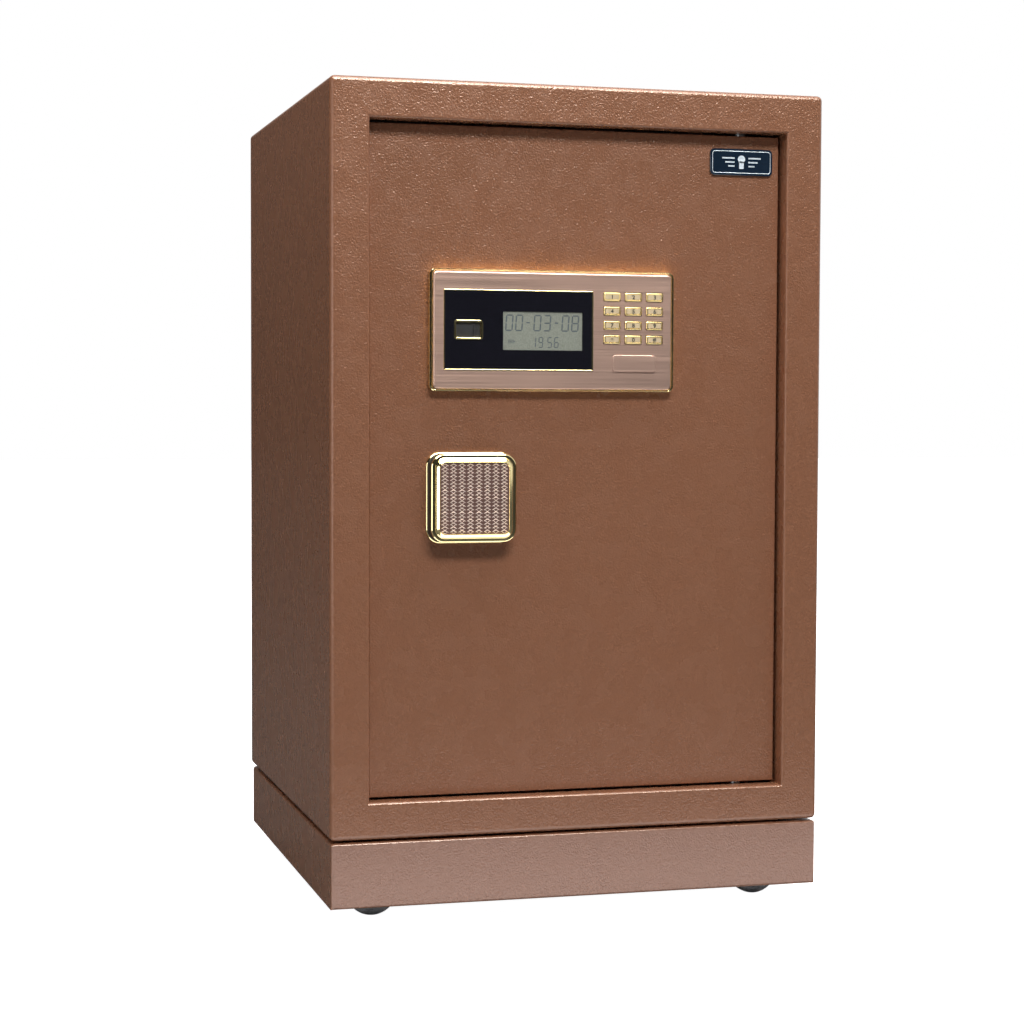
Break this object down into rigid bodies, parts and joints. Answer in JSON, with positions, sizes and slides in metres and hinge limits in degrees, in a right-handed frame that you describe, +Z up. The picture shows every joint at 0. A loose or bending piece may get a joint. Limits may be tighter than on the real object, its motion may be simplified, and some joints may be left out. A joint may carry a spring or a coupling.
{
  "type": "deposit safe",
  "caption": "Floor-standing deposit safe on a castor plinth: inset hinged door, fingerprint and keypad lock, square turning knob that throws the bolts, shelf inside.",
  "frame": {"origin": "on the floor, under the middle of the whole object's box", "axes": "+Z up, front faces -Y, +X to the right seen from the front"},
  "size_m": [0.38, 0.372, 0.6156],
  "materials": {
    "bronze_paint": "hammered bronze-brown powder coat, satin",
    "grey_lining": "short grey flocked lining",
    "zinc_steel": "zinc plated",
    "gold_chrome": "polished pale gold plating",
    "rose_bronze": "satin rose-brown anodised",
    "display_glass": "glossy, near black",
    "lcd_grey": "grey-green liquid crystal panel",
    "black_plastic": "fine matt",
    "circuit_board": "green solder mask",
    "lock_brass": "turned brass",
    "badge_enamel": "dark enamel, glossy",
    "red_plastic": "glossy",
    "wheel_tread": "dark grey, satin"
  },
  "bodies": {
    "cabinet": {"outer_shell": "bronze_paint", "rear_panel": "bronze_paint", "inner_liner": "grey_lining", "door_stop": "bronze_paint", "upper_hinge_pin": "zinc_steel", "lower_hinge_pin": "zinc_steel", "shelf": "grey_lining", "shelf_bracket_left": "zinc_steel", "shelf_bracket_right": "zinc_steel", "plinth": "bronze_paint"},
    "door": {"door_plate": "bronze_paint", "door_frame": "bronze_paint", "door_back_cover": "bronze_paint", "keypad_base": "gold_chrome", "keypad_bezel": "rose_bronze", "display_window": "display_glass", "lcd_module": "lcd_grey", "fingerprint_bezel": "gold_chrome", "fingerprint_sensor": "black_plastic", "control_board": "circuit_board", "lock_cylinder": "lock_brass", "solenoid": "black_plastic", "battery_box": "black_plastic", "nameplate": "badge_enamel"},
    "handle": {"handle_body": "gold_chrome", "handle_inlay": "rose_bronze", "handle_spindle": "zinc_steel", "crank_disc": "zinc_steel"},
    "bolt_carriage": {"bolt_carrier": "zinc_steel", "bolt_lower": "zinc_steel", "bolt_middle": "zinc_steel", "bolt_upper": "zinc_steel"},
    "bolt_top": {"bolt_top": "zinc_steel"},
    "bolt_bottom": {"bolt_bottom": "zinc_steel"},
    "solenoid_plunger": {"solenoid_plunger": "zinc_steel"},
    "lock_core": {"lock_core": "lock_brass"},
    "keyhole_cover": {"keyhole_cover": "rose_bronze"},
    "battery_lid": {"battery_lid": "black_plastic"},
    "reset_button": {"reset_button": "red_plastic"},
    "key_1": {"key_1": "gold_chrome"},
    "key_2": {"key_2": "gold_chrome"},
    "key_3": {"key_3": "gold_chrome"},
    "key_4": {"key_4": "gold_chrome"},
    "key_5": {"key_5": "gold_chrome"},
    "key_6": {"key_6": "gold_chrome"},
    "key_7": {"key_7": "gold_chrome"},
    "key_8": {"key_8": "gold_chrome"},
    "key_9": {"key_9": "gold_chrome"},
    "key_star": {"key_star": "gold_chrome"},
    "key_0": {"key_0": "gold_chrome"},
    "key_hash": {"key_hash": "gold_chrome"},
    "castor_fork_front_left": {"castor_fork_front_left": "zinc_steel"},
    "castor_wheel_front_left": {"castor_wheel_front_left": "wheel_tread"},
    "castor_fork_front_right": {"castor_fork_front_right": "zinc_steel"},
    "castor_wheel_front_right": {"castor_wheel_front_right": "wheel_tread"},
    "castor_fork_rear_left": {"castor_fork_rear_left": "zinc_steel"},
    "castor_wheel_rear_left": {"castor_wheel_rear_left": "wheel_tread"},
    "castor_fork_rear_right": {"castor_fork_rear_right": "zinc_steel"},
    "castor_wheel_rear_right": {"castor_wheel_rear_right": "wheel_tread"}
  },
  "joints": [
    {"name": "door_hinge", "type": "hinge", "parent": "cabinet", "child": "door", "pos_m": [0.131, -0.161, 0.3382], "axis": [0, 0, 1], "range_deg": [0, 110]},
    {"name": "handle_turn", "type": "hinge", "parent": "door", "child": "handle", "pos_m": [-0.083, -0.1705, 0.3119], "axis": [0, -1, 0], "range_deg": [0, 90]},
    {"name": "bolt_carriage_slide", "type": "slide", "parent": "door", "child": "bolt_carriage", "axis": [-1, 0, 0], "range_m": [0, 0.025]},
    {"name": "bolt_top_slide", "type": "slide", "parent": "door", "child": "bolt_top", "axis": [0, 0, 1], "range_m": [0, 0.025]},
    {"name": "bolt_bottom_slide", "type": "slide", "parent": "door", "child": "bolt_bottom", "axis": [0, 0, -1], "range_m": [0, 0.025]},
    {"name": "solenoid_plunger_slide", "type": "slide", "parent": "door", "child": "solenoid_plunger", "axis": [0, 1, 0], "range_m": [0, 0.006]},
    {"name": "lock_core_turn", "type": "hinge", "parent": "door", "child": "lock_core", "pos_m": [0.05, -0.1754, 0.4114], "axis": [0, -1, 0], "range_deg": [0, 90]},
    {"name": "keyhole_cover_slide", "type": "slide", "parent": "door", "child": "keyhole_cover", "axis": [-1, 0, 0], "range_m": [0, 0.014]},
    {"name": "battery_lid_slide", "type": "slide", "parent": "door", "child": "battery_lid", "axis": [1, 0, 0], "range_m": [0, 0.03]},
    {"name": "reset_button_press", "type": "slide", "parent": "door", "child": "reset_button", "axis": [0, -1, 0], "range_m": [0, 0.0015], "stiffness_N_per_m": 400},
    {"name": "key_1_press", "type": "slide", "parent": "door", "child": "key_1", "axis": [0, 1, 0], "range_m": [0, 0.001], "stiffness_N_per_m": 500},
    {"name": "key_2_press", "type": "slide", "parent": "door", "child": "key_2", "axis": [0, 1, 0], "range_m": [0, 0.001], "stiffness_N_per_m": 500},
    {"name": "key_3_press", "type": "slide", "parent": "door", "child": "key_3", "axis": [0, 1, 0], "range_m": [0, 0.001], "stiffness_N_per_m": 500},
    {"name": "key_4_press", "type": "slide", "parent": "door", "child": "key_4", "axis": [0, 1, 0], "range_m": [0, 0.001], "stiffness_N_per_m": 500},
    {"name": "key_5_press", "type": "slide", "parent": "door", "child": "key_5", "axis": [0, 1, 0], "range_m": [0, 0.001], "stiffness_N_per_m": 500},
    {"name": "key_6_press", "type": "slide", "parent": "door", "child": "key_6", "axis": [0, 1, 0], "range_m": [0, 0.001], "stiffness_N_per_m": 500},
    {"name": "key_7_press", "type": "slide", "parent": "door", "child": "key_7", "axis": [0, 1, 0], "range_m": [0, 0.001], "stiffness_N_per_m": 500},
    {"name": "key_8_press", "type": "slide", "parent": "door", "child": "key_8", "axis": [0, 1, 0], "range_m": [0, 0.001], "stiffness_N_per_m": 500},
    {"name": "key_9_press", "type": "slide", "parent": "door", "child": "key_9", "axis": [0, 1, 0], "range_m": [0, 0.001], "stiffness_N_per_m": 500},
    {"name": "key_star_press", "type": "slide", "parent": "door", "child": "key_star", "axis": [0, 1, 0], "range_m": [0, 0.001], "stiffness_N_per_m": 500},
    {"name": "key_0_press", "type": "slide", "parent": "door", "child": "key_0", "axis": [0, 1, 0], "range_m": [0, 0.001], "stiffness_N_per_m": 500},
    {"name": "key_hash_press", "type": "slide", "parent": "door", "child": "key_hash", "axis": [0, 1, 0], "range_m": [0, 0.001], "stiffness_N_per_m": 500},
    {"name": "castor_front_left_swivel", "type": "hinge", "parent": "cabinet", "child": "castor_fork_front_left", "pos_m": [-0.139, -0.1445, 0.055], "axis": [0, 0, 1], "continuous": true},
    {"name": "castor_front_left_spin", "type": "hinge", "parent": "castor_fork_front_left", "child": "castor_wheel_front_left", "pos_m": [-0.152, -0.1445, 0.02], "axis": [0, 1, 0], "continuous": true},
    {"name": "castor_front_right_swivel", "type": "hinge", "parent": "cabinet", "child": "castor_fork_front_right", "pos_m": [0.139, -0.1445, 0.055], "axis": [0, 0, 1], "continuous": true},
    {"name": "castor_front_right_spin", "type": "hinge", "parent": "castor_fork_front_right", "child": "castor_wheel_front_right", "pos_m": [0.152, -0.1445, 0.02], "axis": [0, 1, 0], "continuous": true},
    {"name": "castor_rear_left_swivel", "type": "hinge", "parent": "cabinet", "child": "castor_fork_rear_left", "pos_m": [-0.139, 0.144, 0.055], "axis": [0, 0, 1], "continuous": true},
    {"name": "castor_rear_left_spin", "type": "hinge", "parent": "castor_fork_rear_left", "child": "castor_wheel_rear_left", "pos_m": [-0.152, 0.144, 0.02], "axis": [0, 1, 0], "continuous": true},
    {"name": "castor_rear_right_swivel", "type": "hinge", "parent": "cabinet", "child": "castor_fork_rear_right", "pos_m": [0.139, 0.144, 0.055], "axis": [0, 0, 1], "continuous": true},
    {"name": "castor_rear_right_spin", "type": "hinge", "parent": "castor_fork_rear_right", "child": "castor_wheel_rear_right", "pos_m": [0.152, 0.144, 0.02], "axis": [0, 1, 0], "continuous": true}
  ],
  "couplings": [
    {"joint": "bolt_carriage_slide", "follows": "handle_turn", "m_per_rad": 0.015915},
    {"joint": "bolt_top_slide", "follows": "handle_turn", "m_per_rad": 0.015915},
    {"joint": "bolt_bottom_slide", "follows": "handle_turn", "m_per_rad": 0.015915}
  ]
}
